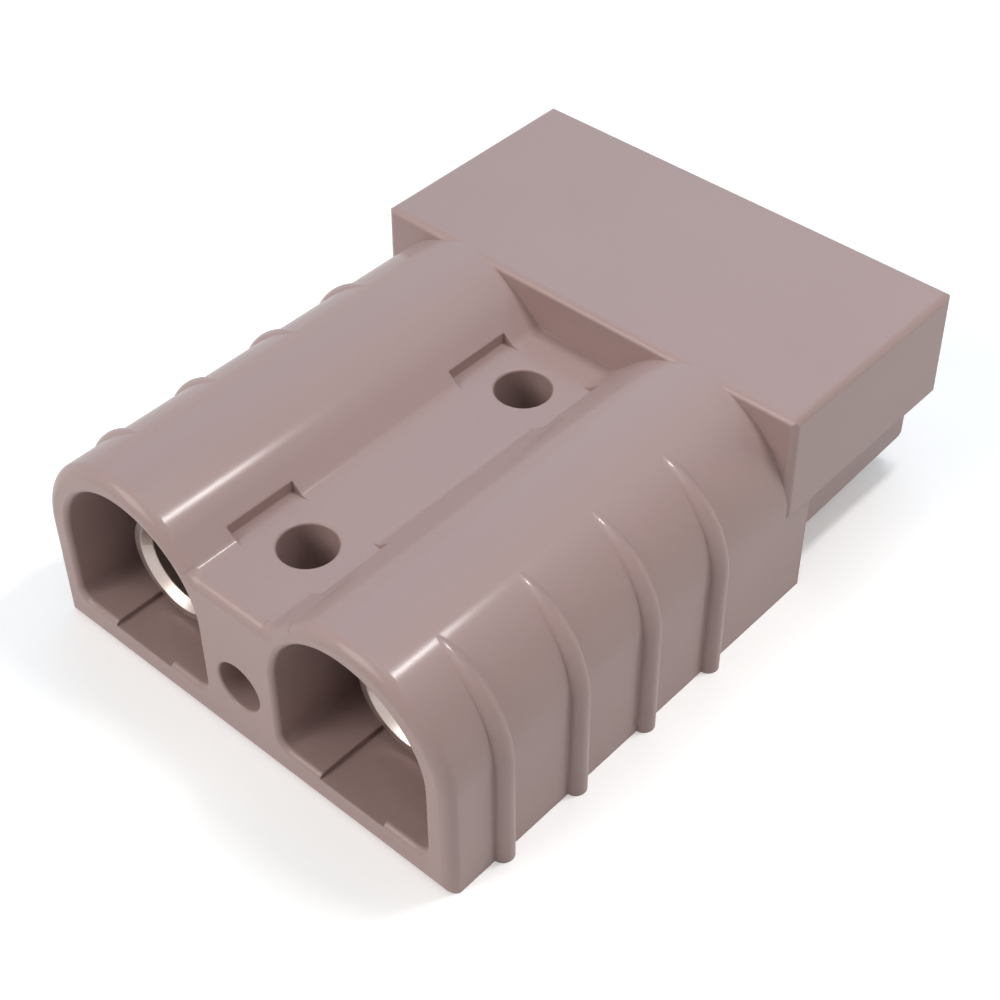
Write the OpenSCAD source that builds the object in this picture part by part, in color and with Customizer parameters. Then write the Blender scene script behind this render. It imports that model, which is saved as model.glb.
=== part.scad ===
// Two-pole genderless power connector: one moulded housing, two crimp
// contacts and the two leaf springs that press the contacts to their mates.
// Origin under the middle of the part, +Z up, mating end towards +Y.

/* [Housing] */
// Overall length, wire end to mating end
housing_l = 79.4; // [74:0.1:90]
// Height of the housing
housing_h = 26; // [25:0.1:29]
// Width of the mating block along its top face
block_w = 56.4; // [54.5:0.1:60]
// Length of the mating block
block_l = 28.6; // [26:0.1:32]
// How much one side wall of the block leans out towards its lower edge
block_lean = 0.2; // [0:0.05:1.2]
// Width of the body across its flat sides, between the ribs
body_w = 56.4; // [55:0.1:60]
// Length of the underside step that clears the hood of the mate
step_l = 24; // [22:0.1:26]
// Radius on the long outer edges of the block
edge_r = 0.9; // [0.6:0.1:1.8]
// Radius round the wire end face
rim_r = 1.6; // [0.8:0.1:1.7]

/* [Barrels and channel] */
// Outer radius of the two barrel shaped backs
barrel_r = 12.2; // [11:0.1:12.6]
// How far the channel floor lies below the crowns of the barrels
channel_drop = 5.5; // [4.5:0.1:6.5]
// Width of the channel floor where the sloping sides meet it
channel_w = 10.2; // [9:0.1:11]
// Radius in the corners of the channel floor
channel_r = 2; // [1:0.1:3]

/* [Grip ribs] */
// Ribs on each side
rib_n = 4; // [2:1:4]
// Distance from the wire end to the first rib
rib_first = 7.3; // [6:0.1:9]
// Pitch of the ribs
rib_pitch = 10.7; // [8:0.1:11]
// Width of a rib
rib_w = 2.4; // [1.6:0.1:3]
// How far a rib stands out from the side wall
rib_proud = 1.15; // [0.6:0.05:1.5]
// Angle round the barrel at which a rib runs out
rib_run_out = 72; // [50:1:80]

/* [Wire entries] */
// Wall between a wire entry and the flat side of the body
side_wall = 3.1; // [2.8:0.1:3.6]
// Width of a wire entry
entry_w = 19.8; // [18.4:0.1:20.2]
// Thickness of the floor under a wire entry
entry_floor = 4.1; // [3.2:0.1:4.1]
// Wall over the crown of a wire entry
entry_roof = 2.6; // [2.5:0.1:3.8]
// Radius in the lower corners of a wire entry
entry_corner = 1.6; // [0.8:0.1:3]
// Radius of the rounded lip of a wire entry
lip_r = 0.7; // [0.4:0.1:0.8]
// Width of the groove in the floor of a wire entry
groove_w = 8.6; // [6:0.1:11]
// Depth of that groove
groove_d = 0.5; // [0.3:0.1:1.2]

/* [Mounting holes] */
// Diameter of the two mounting holes
hole_d = 6.2; // [5:0.1:6.4]
// Distance between the two mounting holes
hole_pitch = 31.4; // [30:0.1:32]
// Distance from the wire end to the first mounting hole
hole_first = 10.6; // [10.2:0.1:12]
// Width of the pocket for the bolt head at each mounting hole
seat_w = 13.3; // [12:0.1:14.4]
// Length of that pocket
seat_l = 8.7; // [8:0.1:11]
// Diameter of the screw hole in the middle of the wire end
screw_d = 5.8; // [4:0.1:6.2]
// Depth of the screw hole
screw_depth = 6; // [4:0.1:6.6]
// Height of the screw hole
screw_z = 8.7; // [7.6:0.1:9.4]

/* [Mating end] */
// Wall of the hood over the contacts
hood_wall = 3; // [2.4:0.1:3.4]
// Sliding clearance between the two mated halves
mate_gap = 0.4; // [0.2:0.05:0.6]
// Room for the spring between the tongue and the blade above it
leaf_room = 1.5; // [1.2:0.1:2.6]
// Width of a tongue
tongue_w = 20.2; // [18:0.1:20.4]
// How much lower the tongue is at its root than at its tip
tongue_draft = 1; // [0:0.1:1.6]
// Chamfer under the tip of a tongue
tongue_lead = 0.4; // [0.3:0.1:1.6]
// How far the tongues stop short of the front of the hood
tongue_back = 0.3; // [0.2:0.1:3]
// Width of the coring slot in the centre divider
core_w = 4; // [2:0.1:5]

/* [Contacts] */
// Outer diameter of the crimp barrel
crimp_d = 12.8; // [11:0.1:13.6]
// Bore of the crimp barrel
crimp_bore = 9.2; // [7:0.1:9.6]
// Width of the chamfer that leads the wire into it
crimp_lead = 0.9; // [0.3:0.1:0.9]
// Length of the crimp barrel
crimp_l = 30.2; // [26:0.1:31]
// Width of the contact blade
blade_w = 15.6; // [12:0.1:16.4]
// Thickness of the contact blade
blade_t = 3.6; // [3:0.1:4]
// How far the blade stops short of the tongue
blade_back = 1.2; // [0.8:0.1:3]
// Clearance of a contact in its housing
contact_gap = 0.3; // [0.2:0.05:0.5]
// How much further back than the right one the left contact stands
left_back = 2.4; // [0:0.1:2.4]

/* [Springs] */
// Thickness of the spring leaf
leaf_t = 0.6; // [0.4:0.05:0.8]
// Width of the spring leaf
leaf_w = 10; // [7:0.1:12]
// Length of the spring leaf
leaf_l = 15; // [13:0.1:15.4]

/* [Hidden] */
$fn = 64;

// Segments of the small radii
small_fn = 20;
// Overrun of every cutter
lap = 0.5;
// Keeps a rounded edge just off tangent to its two faces
off_tangent = 1.02;
// Wall between a wire entry and the hood
bulkhead = 7.5;
// Offset that keeps two surfaces apart where they would just touch
hair = 0.03;
// How far one rim cutter reaches into the next
rim_overlap = 0.2;
// Radius on the mouths of the screw and bolt holes
hole_rim = 0.3;
// Length over which a crimp barrel flattens into its blade
neck_l = 9.5;
// How far the axis of a crimp barrel lies below the middle of its blade
axis_drop = 0.6;
// Length of the flat foot at each end of a spring
leaf_foot = 3;
// Play between a spring and the blade above it
leaf_play = 0.1;
// Distance from the root of a tongue to its spring
leaf_back = 2;
// Closed end of the bore in a crimp barrel
bore_floor = 2;
// Length of the lip under the tip of a blade, and how far it hangs down
hook_l = 2;
hook_drop = 1.2;

block_y = housing_l - block_l;
step_y = housing_l - step_l;
mate_h = housing_h / 2;
lean = atan(block_lean / (housing_h - mate_h));

barrel_x = body_w / 2 - barrel_r;
barrel_z = housing_h - barrel_r;
channel_h = housing_h - channel_drop;
foot = [channel_w / 2, channel_h];
foot_to_axis = [barrel_x, barrel_z] - foot;
slope = asin(barrel_r / norm(foot_to_axis)) + atan2(foot_to_axis[1], foot_to_axis[0]);
crest = [barrel_x - barrel_r * sin(slope), barrel_z + barrel_r * cos(slope)];
foot_cut = channel_r * tan(slope / 2);

entry_r = entry_w / 2;
entry_x = body_w / 2 - side_wall - entry_r;
entry_z = housing_h - entry_roof - entry_r;
entry_l = step_y - bulkhead;

blade_z = mate_h - blade_t;
tongue_z = hood_wall + mate_gap;
tongue_top = blade_z - leaf_room;
tongue_tip = housing_l - tongue_back;
well_w = tongue_w + 2 * mate_gap;
well_top = housing_h - hood_wall;

rib_drop = rib_proud / tan(rib_run_out);

blade_tip = tongue_tip - blade_back;
nose_r = blade_t / 2;
slot_w = blade_w + 2 * contact_gap;
crimp_z = blade_z + blade_t / 2 - axis_drop;
neck_y = entry_l - contact_gap - neck_l;
crimp_y = neck_y - crimp_l;

leaf_rise = leaf_room - leaf_play - leaf_t;
leaf_span = leaf_l - 2 * leaf_foot;
leaf_r = (pow(leaf_span / 2, 2) + pow(leaf_rise, 2)) / (2 * leaf_rise);

// Carries a drawing of the cross-section along the part, from one distance
// behind the wire end to another.
module along(from, to) {
    translate([0, to, 0]) rotate([90, 0, 0]) linear_extrude(to - from) children();
}

// Carries a drawing of the side view across the part, w wide and centred.
module across(w) {
    translate([-w / 2, 0, 0]) rotate([90, 0, 90]) linear_extrude(w) children();
}

// Sets cutters drawn on the cross-section onto the wire end face.
module on_wire_end() {
    rotate([90, 0, 0]) children();
}

// Puts one thing on each side of the middle plane.
module both_sides() {
    children();
    mirror([1, 0, 0]) children();
}

// Section of what an edge loses when it is rounded: the material lies at
// +x and -y of the corner.
module rim_section(r) {
    difference() {
        translate([-lap, -r]) square(r + lap);
        translate([r, -r]) circle(r * off_tangent, $fn = small_fn);
    }
}

// Rounds a straight edge that leaves point p at angle a. The material is on
// the left of the edge and below it.
module rim_line(p, a, len, r) {
    translate([p[0], p[1], 0]) rotate([0, 0, a]) rotate([90, 0, 90]) linear_extrude(len) rim_section(r);
}

// Rounds an edge that runs as an arc about c, with the material outside it.
module rim_bend(c, bend, from, sweep, r) {
    translate([c[0], c[1], 0]) rotate([0, 0, from])
        rotate_extrude(angle = sweep) translate([bend, 0]) rim_section(r);
}

// Rounds an edge that runs as an arc about c, with the material inside it.
module rim_turn(c, bend, from, sweep, r) {
    translate([c[0], c[1], 0]) rotate([0, 0, from])
        rotate_extrude(angle = sweep) translate([bend, 0]) mirror([1, 0]) rim_section(r);
}

// ---- housing ----

// Right half of the body's cross-section: flat side, barrel, slope, channel.
module body_half_section() {
    axis = [barrel_x, barrel_z];
    uphill = [cos(slope), sin(slope)];
    difference() {
        polygon([[0, 0], [body_w / 2, 0], [body_w / 2, barrel_z], axis, crest,
            foot + foot_cut * uphill, foot - [foot_cut, 0], [0, channel_h]]);
        translate(foot + [-foot_cut, channel_r]) circle(channel_r);
    }
    translate(axis) circle(barrel_r);
}

module body_solid() {
    both_sides() along(0, block_y + edge_r + lap) body_half_section();
    along(block_y, step_y) translate([-body_w / 2, 0]) square([body_w, mate_h]);
}

// Rolls the sides, top and channel over into the wire end face. The straight
// cutters reach a little into the round ones and lie a hair shallower, so that
// no two of them are tangent.
module wire_end_rounding() {
    downhill = [-cos(slope), -sin(slope)];
    start = crest - rim_overlap * downhill + hair * [-sin(slope), cos(slope)];
    flat = foot[0] - foot_cut + rim_overlap;
    on_wire_end() {
        rim_line([-body_w, 0], 0, 2 * body_w, rim_r);
        rim_line([flat, channel_h + hair], 180, 2 * flat, rim_r);
        both_sides() {
            rim_line([body_w / 2, -lap], 90, barrel_z + lap, rim_r);
            rim_turn([barrel_x, barrel_z], barrel_r, 0, 90 + slope, rim_r);
            rim_line(start, 180 + slope, norm(crest - foot) - foot_cut + 2 * rim_overlap, rim_r);
            rim_bend(foot + [-foot_cut, channel_r], channel_r, 270, slope, rim_r);
        }
    }
}

// One rib: upright against the side wall, then round the barrel on a centre
// set off so that it sinks away towards the top.
module rib() {
    r = rib_w / 2;
    axis = [barrel_x + rib_proud, barrel_z - rib_drop];
    translate([axis[0] + barrel_r - r, 0, 0]) cylinder(h = axis[1], r = r, $fn = small_fn);
    translate([axis[0], 0, axis[1]]) rotate([90, 0, 0])
        rotate_extrude(angle = rib_run_out + 4) translate([barrel_r - r, 0]) circle(r, $fn = small_fn);
}

// Cross-section of the block: leaning sides that roll over into the top.
module block_section() {
    low = block_w / 2 + block_lean;
    centre = [block_w / 2 + edge_r * (tan(lean) - 1 / cos(lean)), housing_h - edge_r];
    side = centre + edge_r * [cos(lean), sin(lean)];
    polygon([[-centre[0], housing_h], [-side[0], side[1]], [-low, mate_h],
        [low, mate_h], side, [centre[0], housing_h]]);
    both_sides() translate(centre) circle(edge_r, $fn = small_fn);
}

module block_rounding() {
    translate([0, 0, housing_h]) {
        rim_line([-block_w / 2, block_y], 0, block_w, edge_r);
        rim_line([block_w / 2, housing_l], 180, block_w, edge_r);
    }
    both_sides() for (end = [0, 1])
        translate([block_w / 2 + block_lean, end ? housing_l : block_y, mate_h])
            rotate([0, -lean, 0]) mirror([0, end, 0])
                translate([0, 0, -lap]) linear_extrude(housing_h) rotate(180) rim_section(edge_r);
}

module block_solid() {
    difference() {
        along(block_y, housing_l) block_section();
        block_rounding();
    }
}

// Shelf that carries one contact, thinner towards its tip.
module tongue() {
    translate([entry_x, 0, 0]) across(tongue_w)
        polygon([[step_y - lap, tongue_z], [tongue_tip - tongue_lead, tongue_z + tongue_draft],
            [tongue_tip, tongue_z + tongue_draft + tongue_lead], [tongue_tip, tongue_top],
            [step_y - lap, tongue_top]]);
}

module entry_section() {
    c = entry_corner;
    translate([0, entry_z]) circle(entry_r);
    translate([-entry_r, entry_floor + c]) square([entry_w, entry_z - entry_floor - c]);
    translate([c - entry_r, entry_floor]) square([entry_w - 2 * c, entry_z - entry_floor]);
    for (side = [-1, 1]) translate([side * (entry_r - c), entry_floor + c]) circle(c);
    translate([-groove_w / 2, entry_floor - groove_d]) square([groove_w, groove_d + lap]);
}

module entry_lip() {
    c = entry_corner;
    wall = entry_z - entry_floor - c;
    on_wire_end() {
        rim_line([-entry_r, entry_floor + c], 90, wall, lip_r);
        rim_bend([0, entry_z], entry_r, 0, 180, lip_r);
        rim_line([entry_r, entry_z], 270, wall, lip_r);
        rim_bend([entry_r - c, entry_floor + c], c, 270, 90, lip_r);
        rim_line([entry_r - c, entry_floor], 180, entry_w - 2 * c, lip_r);
        rim_bend([c - entry_r, entry_floor + c], c, 180, 90, lip_r);
    }
}

// Space for one wire, its contact and the tongue of the mate.
module cavity() {
    translate([entry_x, 0, 0]) {
        along(-lap, entry_l) entry_section();
        entry_lip();
        translate([-slot_w / 2, entry_l - lap, blade_z])
            cube([slot_w, step_y - entry_l + 2 * lap, blade_t + contact_gap]);
        translate([-well_w / 2, step_y, tongue_top])
            cube([well_w, step_l + lap, well_top - tongue_top]);
    }
}

module mounting_hole() {
    translate([0, 0, -lap]) cylinder(h = housing_h, d = hole_d);
    translate([0, 0, channel_h]) rim_bend([0, 0], hole_d / 2, 0, 360, hole_rim);
    mirror([0, 0, 1]) rim_bend([0, 0], hole_d / 2, 0, 360, hole_rim);
    translate([-seat_w / 2, -seat_l / 2, channel_h]) cube([seat_w, seat_l, housing_h]);
}

module screw_hole() {
    on_wire_end() translate([0, screw_z, 0]) {
        translate([0, 0, -screw_depth]) cylinder(h = screw_depth + lap, d = screw_d);
        rim_bend([0, 0], screw_d / 2, 0, 360, hole_rim);
    }
}

module housing_shape() {
    difference() {
        union() {
            difference() {
                body_solid();
                wire_end_rounding();
            }
            block_solid();
            both_sides() tongue();
            both_sides() for (i = [0:rib_n - 1]) translate([0, rib_first + i * rib_pitch, 0]) rib();
        }
        both_sides() cavity();
        for (i = [0, 1]) translate([0, hole_first + i * hole_pitch, 0]) mounting_hole();
        screw_hole();
        translate([-core_w / 2, step_y, mate_h - lap])
            cube([core_w, step_l + lap, well_top - mate_h + lap]);
    }
}

// ---- contacts and springs ----

// Crimp barrel with a blind, chamfered bore for the stripped wire.
module crimp_barrel() {
    r = crimp_bore / 2;
    translate([0, crimp_y, crimp_z]) rotate([-90, 0, 0]) difference() {
        cylinder(h = crimp_l, d = crimp_d);
        translate([0, 0, -lap]) cylinder(h = crimp_l - bore_floor + lap, r = r);
        translate([0, 0, -lap]) cylinder(h = crimp_lead + lap, r1 = r + crimp_lead + lap, r2 = r);
    }
}

// Where the barrel is pressed flat to meet the blade.
module neck() {
    r = crimp_d / 2;
    intersection() {
        along(neck_y - lap, neck_y + neck_l) translate([0, crimp_z]) circle(r);
        across(crimp_d) polygon([[neck_y - lap, crimp_z - r], [neck_y, crimp_z - r],
            [neck_y + neck_l, blade_z], [neck_y + neck_l, mate_h],
            [neck_y, crimp_z + r], [neck_y - lap, crimp_z + r]]);
    }
}

// Side view of the blade: rounded nose, and a lip that keeps the spring in.
module blade_profile() {
    translate([neck_y + neck_l - lap, blade_z])
        square([blade_tip - nose_r - neck_y - neck_l + lap, blade_t]);
    translate([blade_tip - hook_l, blade_z - hook_drop])
        square([hook_l, mate_h - nose_r - blade_z + hook_drop]);
    translate([blade_tip - nose_r, mate_h - nose_r]) circle(nose_r);
}

module contact() {
    translate([entry_x, 0, 0]) {
        crimp_barrel();
        neck();
        across(blade_w) blade_profile();
    }
}

// Leaf spring: two flat feet on the tongue and an arch up to the blade.
module spring() {
    mid = step_y + leaf_back + leaf_l / 2;
    translate([entry_x, 0, 0]) across(leaf_w) translate([mid, tongue_top]) {
        for (side = [-1, 1]) translate([side * (leaf_l - leaf_foot) / 2 - leaf_foot / 2, 0])
            square([leaf_foot, leaf_t]);
        intersection() {
            translate([-leaf_l / 2, 0]) square([leaf_l, leaf_rise + leaf_t]);
            translate([0, leaf_rise - leaf_r]) difference() {
                circle(leaf_r + leaf_t);
                circle(leaf_r);
            }
        }
    }
}

// ---- nodes ----

module centred() {
    translate([0, -housing_l / 2, 0]) children();
}

module housing() {
    color([0.62, 0.56, 0.58]) centred() housing_shape();
}

module contact_left() {
    color([0.8, 0.81, 0.82]) centred() mirror([1, 0, 0]) translate([0, -left_back, 0]) contact();
}

module contact_right() {
    color([0.8, 0.81, 0.82]) centred() contact();
}

module spring_left() {
    color([0.7, 0.71, 0.72]) centred() mirror([1, 0, 0]) spring();
}

module spring_right() {
    color([0.7, 0.71, 0.72]) centred() spring();
}

housing();
contact_left();
contact_right();
spring_left();
spring_right();
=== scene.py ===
import bpy
from math import radians, sin, cos
from mathutils import Matrix, Vector


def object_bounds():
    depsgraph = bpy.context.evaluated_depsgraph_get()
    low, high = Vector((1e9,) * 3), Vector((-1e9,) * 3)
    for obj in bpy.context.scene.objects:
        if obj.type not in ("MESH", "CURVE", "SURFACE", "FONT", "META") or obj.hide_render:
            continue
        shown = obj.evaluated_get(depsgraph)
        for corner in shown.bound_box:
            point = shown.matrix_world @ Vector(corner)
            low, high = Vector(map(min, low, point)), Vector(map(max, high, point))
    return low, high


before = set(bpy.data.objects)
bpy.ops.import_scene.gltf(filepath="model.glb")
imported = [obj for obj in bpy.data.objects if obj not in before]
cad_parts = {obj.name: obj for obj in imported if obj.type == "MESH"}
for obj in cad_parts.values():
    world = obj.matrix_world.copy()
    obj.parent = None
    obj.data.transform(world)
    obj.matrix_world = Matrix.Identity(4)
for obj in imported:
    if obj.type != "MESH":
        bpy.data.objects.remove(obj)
cadLow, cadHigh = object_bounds()
middle = (cadLow + cadHigh) / 2
print("frame loaded:", ", ".join(sorted(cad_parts)))

scene = bpy.context.scene
scene.view_settings.view_transform = "Standard"
white = (1.0, 1.0, 1.0, 1.0)


viewpoint = {
    "azimuth": 42.2,                 # degrees round from facing the wire end
    "elevation": 43.4,
    "roll": -0.4,
    "aim": (0.0043, -0.0062, 0.0),   # metres off the middle of the part
    "distance": 0.1995,              # metres back from there
    "lens": 68.7,                    # millimetres
    "nearest": 0.01,                 # metres, where the view begins
}


def makeCamera(v):
    turn, up = radians(v["azimuth"]), radians(v["elevation"])
    back = Vector((sin(turn) * cos(up), -cos(turn) * cos(up), sin(up)))
    right = Vector((cos(turn), sin(turn), 0))
    turned = Matrix((right, back.cross(right), back)).transposed().to_4x4()
    stand = middle + Vector(v["aim"]) + v["distance"] * back
    bpy.ops.object.camera_add()
    camera = bpy.context.object
    camera.name = "mainCamera"
    camera.matrix_world = (Matrix.Translation(stand) @ turned
                           @ Matrix.Rotation(radians(v["roll"]), 4, "Z"))
    camera.data.lens = v["lens"]
    camera.data.clip_start = v["nearest"]
    scene.camera = camera


makeCamera(viewpoint)
print("camera set")


def addNode(tree, kind, place, **values):
    node = tree.nodes.new(kind)
    node.location = place
    for name, value in values.items():
        setattr(node, name, value)
    return node


unevenness = {
    "inputs": {"Drift Scale": 60.0, "Speckle Scale": 3000.0, "Drift": 0.5, "Speckle": 0.5},
    "outputs": ("Mask", "Height"),
    "driftDetail": 3,
    "speckleDetail": 2,
}


def makeUnevenGroup(u):
    # slow drift and fine speckle, for anything moulded, plated or rolled
    group = bpy.data.node_groups.new("unevenSurface", "ShaderNodeTree")
    addSocket = group.interface.new_socket
    for name, default in u["inputs"].items():
        socket = addSocket(name, in_out="INPUT", socket_type="NodeSocketFloat")
        socket.default_value = default
    for name in u["outputs"]:
        addSocket(name, in_out="OUTPUT", socket_type="NodeSocketFloat")
    inputs = addNode(group, "NodeGroupInput", (-900, 0))
    outputs = addNode(group, "NodeGroupOutput", (500, 0))
    place = addNode(group, "ShaderNodeTexCoord", (-900, 300))
    drift = addNode(group, "ShaderNodeTexNoise", (-600, 250))
    drift.inputs["Detail"].default_value = u["driftDetail"]
    speckle = addNode(group, "ShaderNodeTexNoise", (-600, -100))
    speckle.inputs["Detail"].default_value = u["speckleDetail"]
    driftPart = addNode(group, "ShaderNodeMath", (-300, 250), operation="MULTIPLY")
    specklePart = addNode(group, "ShaderNodeMath", (-300, -100), operation="MULTIPLY")
    both = addNode(group, "ShaderNodeMath", (0, 100), operation="ADD")
    link = group.links.new
    link(place.outputs["Object"], drift.inputs["Vector"])
    link(place.outputs["Object"], speckle.inputs["Vector"])
    link(inputs.outputs["Drift Scale"], drift.inputs["Scale"])
    link(inputs.outputs["Speckle Scale"], speckle.inputs["Scale"])
    link(drift.outputs["Fac"], driftPart.inputs[0])
    link(inputs.outputs["Drift"], driftPart.inputs[1])
    link(speckle.outputs["Fac"], specklePart.inputs[0])
    link(inputs.outputs["Speckle"], specklePart.inputs[1])
    link(driftPart.outputs[0], both.inputs[0])
    link(specklePart.outputs[0], both.inputs[1])
    link(both.outputs[0], outputs.inputs["Mask"])
    link(speckle.outputs["Fac"], outputs.inputs["Height"])
    return group


uneven = makeUnevenGroup(unevenness)


def makeFinish(look):
    material = bpy.data.materials.new(look["name"])
    material.use_nodes = True
    tree = material.node_tree
    shader = tree.nodes["Principled BSDF"]
    shader.inputs["Metallic"].default_value = look["metallic"]
    shader.inputs["Coat Weight"].default_value = look["coat"]["weight"]
    shader.inputs["Coat Roughness"].default_value = look["coat"]["roughness"]
    surface = addNode(tree, "ShaderNodeGroup", (-900, 0), node_tree=uneven)
    surface.inputs["Drift Scale"].default_value = look["driftScale"]
    surface.inputs["Speckle Scale"].default_value = look["speckleScale"]
    surface.inputs["Drift"].default_value = look["drift"]
    surface.inputs["Speckle"].default_value = 1 - look["drift"]
    colours = addNode(tree, "ShaderNodeMix", (-500, 200), data_type="RGBA")
    colours.inputs["A"].default_value = (*look["darker"], 1)
    colours.inputs["B"].default_value = (*look["lighter"], 1)
    gloss = addNode(tree, "ShaderNodeMapRange", (-500, -50))
    gloss.inputs["To Min"].default_value = look["roughness"][0]
    gloss.inputs["To Max"].default_value = look["roughness"][1]
    edge = addNode(tree, "ShaderNodeBevel", (-500, -450), samples=look["edge"]["samples"])
    edge.inputs["Radius"].default_value = look["edge"]["radius"]
    grain = addNode(tree, "ShaderNodeBump", (-250, -300))
    grain.inputs["Strength"].default_value = look["grain"]["strength"]
    grain.inputs["Distance"].default_value = look["grain"]["depth"]
    link = tree.links.new
    link(surface.outputs["Mask"], colours.inputs["Factor"])
    link(colours.outputs["Result"], shader.inputs["Base Color"])
    link(surface.outputs["Mask"], gloss.inputs["Value"])
    link(gloss.outputs["Result"], shader.inputs["Roughness"])
    link(surface.outputs["Height"], grain.inputs["Height"])
    link(edge.outputs["Normal"], grain.inputs["Normal"])
    link(grain.outputs["Normal"], shader.inputs["Normal"])
    return material


# roughness is for the darker and the lighter places; lengths are in metres
mouldedGrey = {
    "name": "mouldedGrey", "metallic": 0.0,
    "darker": (0.345, 0.236, 0.222), "lighter": (0.396, 0.274, 0.260),
    "driftScale": 70.0, "speckleScale": 2600.0, "drift": 0.6,
    "roughness": (0.54, 0.64),
    "edge": {"radius": 0.0003, "samples": 6},
    "grain": {"strength": 0.10, "depth": 0.00008},
    "coat": {"weight": 0.38, "roughness": 0.15},
}
platedCopper = {
    "name": "platedCopper", "metallic": 1.0,
    "darker": (0.47, 0.39, 0.36), "lighter": (0.62, 0.53, 0.49),
    "driftScale": 150.0, "speckleScale": 4000.0, "drift": 0.7,
    "roughness": (0.28, 0.42),
    "edge": {"radius": 0.0002, "samples": 6},
    "grain": {"strength": 0.08, "depth": 0.00005},
    "coat": {"weight": 0.0, "roughness": 0.1},
}
springSteel = {
    "name": "springSteel", "metallic": 1.0,
    "darker": (0.44, 0.44, 0.44), "lighter": (0.58, 0.58, 0.59),
    "driftScale": 200.0, "speckleScale": 5000.0, "drift": 0.6,
    "roughness": (0.25, 0.38),
    "edge": {"radius": 0.00008, "samples": 6},
    "grain": {"strength": 0.06, "depth": 0.00004},
    "coat": {"weight": 0.0, "roughness": 0.1},
}
finishOf = {
    "housing": makeFinish(mouldedGrey),
    "contact": makeFinish(platedCopper),
    "spring": makeFinish(springSteel),
}
for name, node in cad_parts.items():
    finish = finishOf[name.split("_")[0]]
    for slot in node.material_slots:
        slot.material = finish
print("finishes given to", len(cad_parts), "pieces")


def addSeenMask(tree):
    # 1 for whatever the camera sees straight, mirrored or through glass
    ray = addNode(tree, "ShaderNodeLightPath", (-1200, -200))
    direct = addNode(tree, "ShaderNodeMath", (-1000, -150), operation="MAXIMUM")
    mask = addNode(tree, "ShaderNodeMath", (-800, -200), operation="MAXIMUM")
    link = tree.links.new
    link(ray.outputs["Is Camera Ray"], direct.inputs[0])
    link(ray.outputs["Is Glossy Ray"], direct.inputs[1])
    link(direct.outputs[0], mask.inputs[0])
    link(ray.outputs["Is Transmission Ray"], mask.inputs[1])
    return mask.outputs[0]


table = {
    "size": 6.0, "colour": (0.90, 0.90, 0.90), "roughness": 0.9, "specular": 0.1,
    # the lamps light the far table less, so its glow grows over these distances
    "distances": (0.15, 0.8), "glow": (0.32, 1.0),
}


def makeTable(t):
    bpy.ops.mesh.primitive_plane_add(size=t["size"], location=(middle.x, middle.y, cadLow.z))
    plane = bpy.context.object
    plane.name = "table"
    material = bpy.data.materials.new("tableWhite")
    material.use_nodes = True
    tree = material.node_tree
    shader = tree.nodes["Principled BSDF"]
    shader.inputs["Base Color"].default_value = (*t["colour"], 1)
    shader.inputs["Roughness"].default_value = t["roughness"]
    shader.inputs["Specular IOR Level"].default_value = t["specular"]
    shader.inputs["Emission Color"].default_value = white
    place = addNode(tree, "ShaderNodeTexCoord", (-1200, -500))
    away = addNode(tree, "ShaderNodeVectorMath", (-1000, -500), operation="LENGTH")
    glow = addNode(tree, "ShaderNodeMapRange", (-800, -500))
    glow.inputs["From Min"].default_value, glow.inputs["From Max"].default_value = t["distances"]
    glow.inputs["To Min"].default_value, glow.inputs["To Max"].default_value = t["glow"]
    seen = addNode(tree, "ShaderNodeMath", (-500, -300), operation="MULTIPLY")
    link = tree.links.new
    link(place.outputs["Object"], away.inputs[0])
    link(away.outputs["Value"], glow.inputs["Value"])
    link(addSeenMask(tree), seen.inputs[0])
    link(glow.outputs["Result"], seen.inputs[1])
    link(seen.outputs[0], shader.inputs["Emission Strength"])
    plane.data.materials.append(material)


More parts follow.
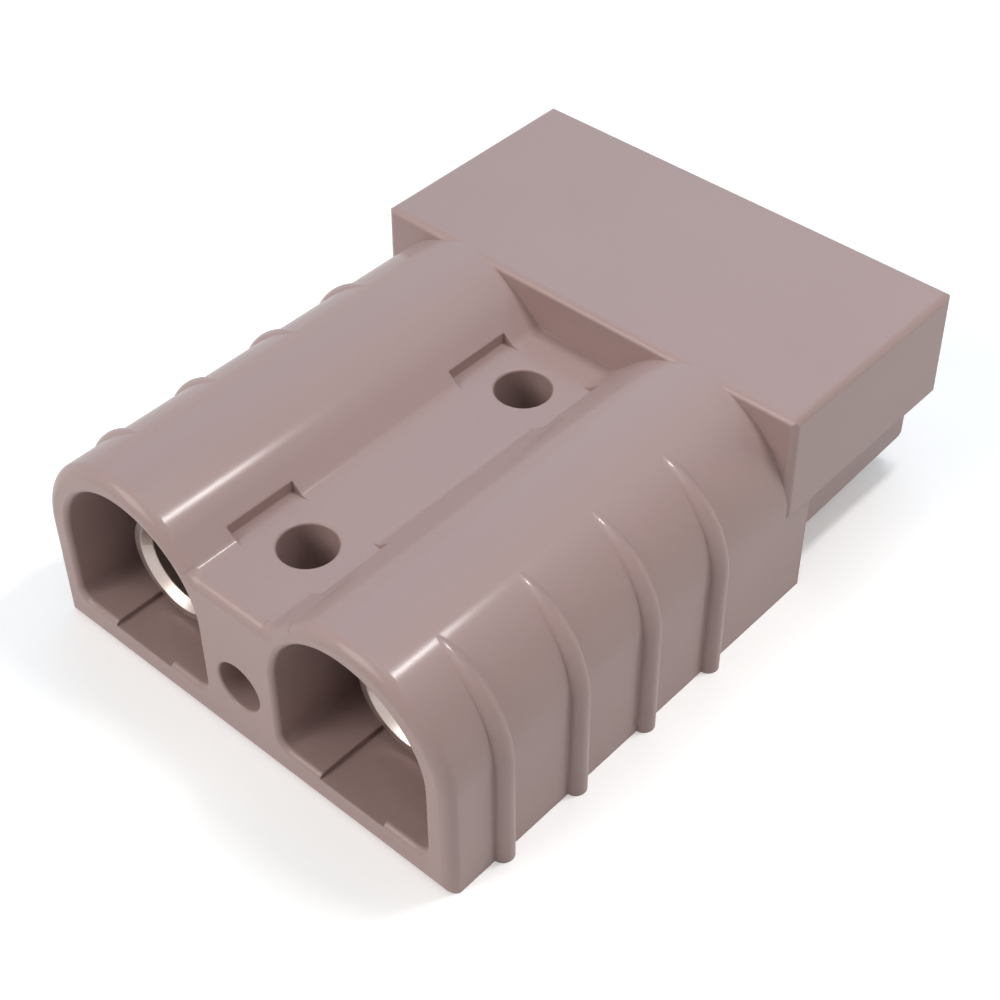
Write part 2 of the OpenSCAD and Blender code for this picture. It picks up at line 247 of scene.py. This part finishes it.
# metres and watts; the second size runs along the part
lamps = {
    # small and close by, it draws the thin bright lines along the barrels
    "keyLamp": {"direction": (0.29, 0.24, 0.92), "distance": 0.247, "size": (0.016, 0.062),
                "power": 0.19, "colour": (1.0, 0.98, 0.97)},
    "windowLamp": {"direction": (-0.49, 0.54, 0.68), "distance": 0.9, "size": (0.8, 0.8),
                   "power": 1.3, "colour": (0.22, 0.62, 1.0)},
    "overheadLamp": {"direction": (0.15, 0.0, 1.0), "distance": 0.9, "size": (0.8, 0.8),
                     "power": 2.9, "colour": (0.92, 0.97, 0.99)},
    "sideLamp": {"direction": (0.68, 0.95, 0.20), "distance": 0.9, "size": (0.4, 0.4),
                 "power": 0.75, "colour": (1.0, 0.76, 0.58)},
    "wireEndLamp": {"direction": (-0.35, -0.85, 0.58), "distance": 0.9, "size": (0.5, 0.5),
                    "power": 4.0, "colour": (1.0, 0.97, 0.94)},
}


def makeLamp(name, lamp):
    way = Vector(lamp["direction"]).normalized()
    across = Vector((0, 1, 0)).cross(way).normalized()
    turned = Matrix((across, way.cross(across), way)).transposed().to_4x4()
    bpy.ops.object.light_add(type="AREA")
    light = bpy.context.object
    light.name = name
    light.matrix_world = Matrix.Translation(middle + lamp["distance"] * way) @ turned
    light.data.shape = "RECTANGLE"
    light.data.size, light.data.size_y = lamp["size"]
    light.data.energy = lamp["power"]
    light.data.color = lamp["colour"]


surroundings = {
    # what lights the part, and what is seen behind it
    "lit": {"colour": (1.0, 0.94, 0.86, 1.0), "strength": 0.12},
    "seen": {"colour": white, "strength": 1.0},
}


def makeSurroundings(s):
    world = bpy.data.worlds.new("studio")
    scene.world = world
    world.use_nodes = True
    tree = world.node_tree
    background = tree.nodes["Background"]
    seen = addSeenMask(tree)
    colour = addNode(tree, "ShaderNodeMix", (-500, 0), data_type="RGBA")
    strength = addNode(tree, "ShaderNodeMix", (-500, -300))
    for side, values in (("A", s["lit"]), ("B", s["seen"])):
        colour.inputs[side].default_value = values["colour"]
        strength.inputs[side].default_value = values["strength"]
    link = tree.links.new
    link(seen, colour.inputs["Factor"])
    link(seen, strength.inputs["Factor"])
    link(colour.outputs["Result"], background.inputs["Color"])
    link(strength.outputs["Result"], background.inputs["Strength"])


makeTable(table)
for name, lamp in lamps.items():
    makeLamp(name, lamp)
makeSurroundings(surroundings)
print("table and", len(lamps), "lamps set")
